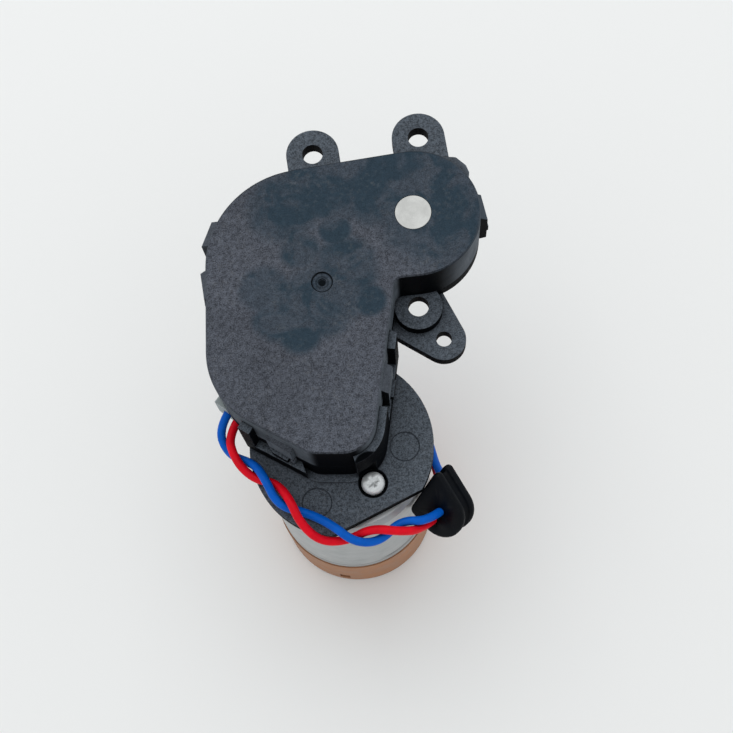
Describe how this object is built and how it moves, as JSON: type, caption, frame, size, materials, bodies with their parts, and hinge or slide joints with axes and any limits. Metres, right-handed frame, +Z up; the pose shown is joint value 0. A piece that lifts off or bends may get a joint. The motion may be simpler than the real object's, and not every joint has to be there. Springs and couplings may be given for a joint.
{
  "type": "robot vacuum main brush motor",
  "caption": "Geared brush motor of a robot vacuum: a can motor under a flat cranked gearbox with mounting ears, a stepped tab, an output socket and a short wired lead.",
  "frame": {"origin": "middle of the motor's foot, on the surface that the end cap stands on", "axes": "+Z up along the motor's axis to the gearbox's top face, +Y towards the two mounting ears, +X along the ears' line"},
  "size_m": [0.0482, 0.0689, 0.065],
  "materials": {
    "dark_case": "dark slate grey moulding, finely mottled",
    "steel_can": "drawn steel, satin",
    "brown_cap": "brown moulded end cap",
    "magnet": "ferrite, dull",
    "bronze": "sintered bronze",
    "copper": "copper",
    "brass": "brass",
    "screw_steel": "bright zinc plate",
    "shaft_steel": "ground steel",
    "iron": "stacked iron sheets",
    "winding": "enamelled copper wire",
    "gear_white": "natural acetal",
    "disc_steel": "pale matte ground end",
    "socket_black": "black moulding",
    "black_rubber": "black rubber, slightly glossy",
    "red_pvc": "red soft PVC",
    "blue_pvc": "blue soft PVC",
    "connector_grey": "pale grey nylon"
  },
  "bodies": {
    "housing": {"gear_case": "dark_case", "gear_cover": "dark_case", "motor_can": "steel_can", "end_cap": "brown_cap", "magnet_left": "magnet", "magnet_right": "magnet", "front_bush": "bronze", "rear_bush": "bronze", "brush_arm_front": "copper", "brush_arm_rear": "copper", "terminal_red": "brass", "terminal_blue": "brass", "motor_screws": "screw_steel", "first_axle": "shaft_steel", "idler_axle": "shaft_steel", "output_bush": "bronze", "grommet": "black_rubber", "red_wire": "red_pvc", "blue_wire": "blue_pvc", "connector_housing": "connector_grey", "connector_contacts": "brass"},
    "rotor": {"motor_shaft": "shaft_steel", "rotor_core": "iron", "rotor_windings": "winding", "commutator": "copper", "motor_pinion": "brass"},
    "first_step": {"first_gear": "gear_white"},
    "idler": {"idler_gear": "gear_white"},
    "output": {"output_gear": "gear_white", "output_shaft": "disc_steel", "drive_socket": "socket_black"}
  },
  "joints": [
    {"name": "rotor_spin", "type": "hinge", "parent": "housing", "child": "rotor", "pos_m": [0, 0, 0.058], "axis": [0, 0, 1], "continuous": true},
    {"name": "first_spin", "type": "hinge", "parent": "housing", "child": "first_step", "pos_m": [-0.00539, 0.01183, 0.058], "axis": [0, 0, 1], "continuous": true},
    {"name": "idler_spin", "type": "hinge", "parent": "housing", "child": "idler", "pos_m": [0.00121, 0.02215, 0.058], "axis": [0, 0, 1], "continuous": true},
    {"name": "output_spin", "type": "hinge", "parent": "housing", "child": "output", "pos_m": [0.0168, 0.03115, 0.058], "axis": [0, 0, 1], "continuous": true}
  ],
  "couplings": [
    {"joint": "first_spin", "follows": "rotor_spin", "ratio": -0.3},
    {"joint": "idler_spin", "follows": "rotor_spin", "ratio": 0.097297},
    {"joint": "output_spin", "follows": "rotor_spin", "ratio": -0.10286}
  ]
}
